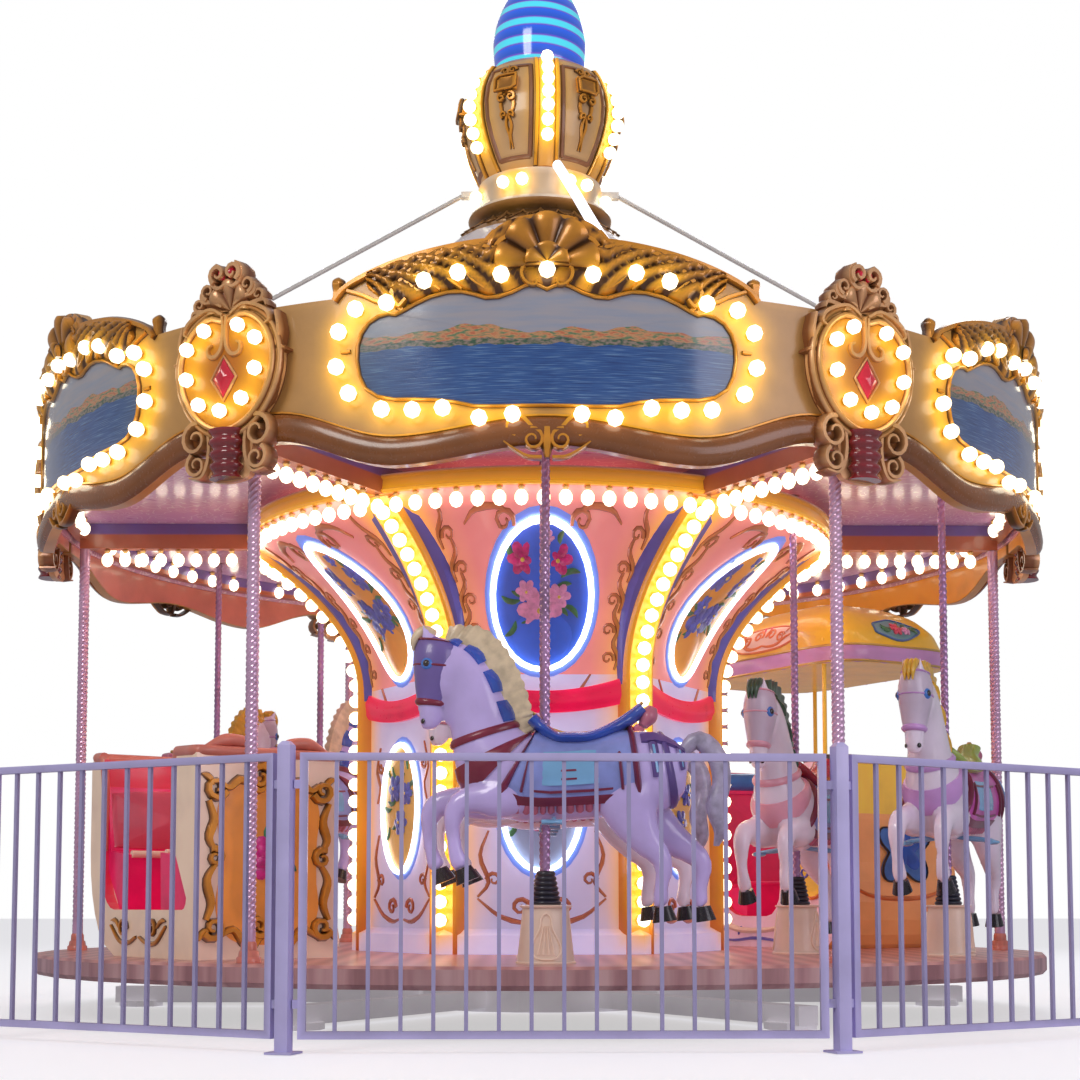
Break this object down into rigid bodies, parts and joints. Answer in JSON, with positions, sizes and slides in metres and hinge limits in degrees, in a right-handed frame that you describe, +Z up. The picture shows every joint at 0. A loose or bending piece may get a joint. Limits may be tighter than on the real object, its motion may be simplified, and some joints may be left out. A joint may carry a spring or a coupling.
{
  "type": "fairground carousel",
  "caption": "Fairground merry-go-round on a round deck, with rising horses, carriages, lit rounding boards and a crown, behind a bar fence.",
  "frame": {"origin": "on the ground under the machine, on the axis of rotation", "axes": "+Z up along the axis of rotation; the front bay and the fence face -Y; +X to the right seen from the front"},
  "size_m": [6.2866, 5.5557, 5.62],
  "materials": {
    "base_steel": "satin",
    "deck_plate": "satin",
    "column_panel": "gloss",
    "sweep_paint": "satin",
    "ceiling_paint": "satin",
    "roof_skin": "satin",
    "gold_leaf": "gloss",
    "crown_cream": "gloss",
    "dome_blue": "gloss",
    "chariot_cream": "gloss",
    "seat_red": "gloss",
    "carriage_tan": "gloss",
    "carriage_yellow": "gloss",
    "horse_white": "gloss",
    "pedestal_cream": "gloss",
    "fence_lavender": "satin",
    "pole_salmon": "gloss",
    "board_cream": "gloss"
  },
  "bodies": {
    "root": {"base_frame": "base_steel", "fence_bay_1": "fence_lavender", "fence_bay_2": "fence_lavender", "fence_bay_3": "fence_lavender", "fence_bay_4": "fence_lavender", "fence_bay_5": "fence_lavender", "fence_bay_6": "fence_lavender", "fence_bay_7": "fence_lavender"},
    "rotor": {"deck": "deck_plate", "column_lower": "column_panel", "column_flare": "column_panel", "sweep_frame": "sweep_paint", "ceiling_disc": "ceiling_paint", "pole_1": "pole_salmon", "pole_2": "pole_salmon", "pole_3": "pole_salmon", "pole_4": "pole_salmon", "pole_5": "pole_salmon", "pole_6": "pole_salmon", "rounding_board_1": "board_cream", "rounding_board_2": "board_cream", "rounding_board_3": "board_cream", "rounding_board_4": "board_cream", "rounding_board_5": "board_cream", "rounding_board_6": "board_cream", "cartouche_1": "gold_leaf", "cartouche_2": "gold_leaf", "cartouche_3": "gold_leaf", "cartouche_4": "gold_leaf", "cartouche_5": "gold_leaf", "cartouche_6": "gold_leaf", "roof": "roof_skin", "centre_mast": "base_steel", "crown_neck": "gold_leaf", "crown_body": "crown_cream", "light_dome": "dome_blue", "light_string_left": "base_steel", "light_string_right": "base_steel", "pedestal_front_outer": "pedestal_cream", "pedestal_front_inner": "pedestal_cream", "pedestal_right_outer": "pedestal_cream", "pedestal_right_inner": "pedestal_cream", "pedestal_back_outer": "pedestal_cream", "pedestal_back_inner": "pedestal_cream", "pedestal_left_back_outer": "pedestal_cream", "pedestal_left_back_inner": "pedestal_cream", "chariot_shell": "chariot_cream", "chariot_seat": "seat_red", "carriage_hull": "carriage_tan", "carriage_seat": "seat_red", "carriage_roof": "carriage_yellow"},
    "horse_front_outer": {"horse_front_outer": "horse_white"},
    "horse_front_inner": {"horse_front_inner": "horse_white"},
    "horse_right_outer": {"horse_right_outer": "horse_white"},
    "horse_right_inner": {"horse_right_inner": "horse_white"},
    "horse_back_outer": {"horse_back_outer": "horse_white"},
    "horse_back_inner": {"horse_back_inner": "horse_white"},
    "horse_left_back_outer": {"horse_left_back_outer": "horse_white"},
    "horse_left_back_inner": {"horse_left_back_inner": "horse_white"}
  },
  "joints": [
    {"name": "carousel_spin", "type": "hinge", "parent": "root", "child": "rotor", "pos_m": [0, 0, 0.2], "axis": [0, 0, -1], "continuous": true},
    {"name": "rise_front_outer", "type": "slide", "parent": "rotor", "child": "horse_front_outer", "axis": [0, 0, 1], "range_m": [-0.1, 0.1]},
    {"name": "rise_front_inner", "type": "slide", "parent": "rotor", "child": "horse_front_inner", "axis": [0, 0, 1], "range_m": [-0.1, 0.1]},
    {"name": "rise_right_outer", "type": "slide", "parent": "rotor", "child": "horse_right_outer", "axis": [0, 0, 1], "range_m": [-0.035, 0.165]},
    {"name": "rise_right_inner", "type": "slide", "parent": "rotor", "child": "horse_right_inner", "axis": [0, 0, 1], "range_m": [-0.035, 0.165]},
    {"name": "rise_back_outer", "type": "slide", "parent": "rotor", "child": "horse_back_outer", "axis": [0, 0, 1], "range_m": [-0.06, 0.14]},
    {"name": "rise_back_inner", "type": "slide", "parent": "rotor", "child": "horse_back_inner", "axis": [0, 0, 1], "range_m": [-0.06, 0.14]},
    {"name": "rise_left_back_outer", "type": "slide", "parent": "rotor", "child": "horse_left_back_outer", "axis": [0, 0, 1], "range_m": [-0.15, 0.05]},
    {"name": "rise_left_back_inner", "type": "slide", "parent": "rotor", "child": "horse_left_back_inner", "axis": [0, 0, 1], "range_m": [-0.15, 0.05]}
  ],
  "couplings": [
    {"joint": "rise_front_inner", "follows": "rise_front_outer", "ratio": 1},
    {"joint": "rise_right_inner", "follows": "rise_right_outer", "ratio": 1},
    {"joint": "rise_back_inner", "follows": "rise_back_outer", "ratio": 1},
    {"joint": "rise_left_back_inner", "follows": "rise_left_back_outer", "ratio": 1}
  ]
}
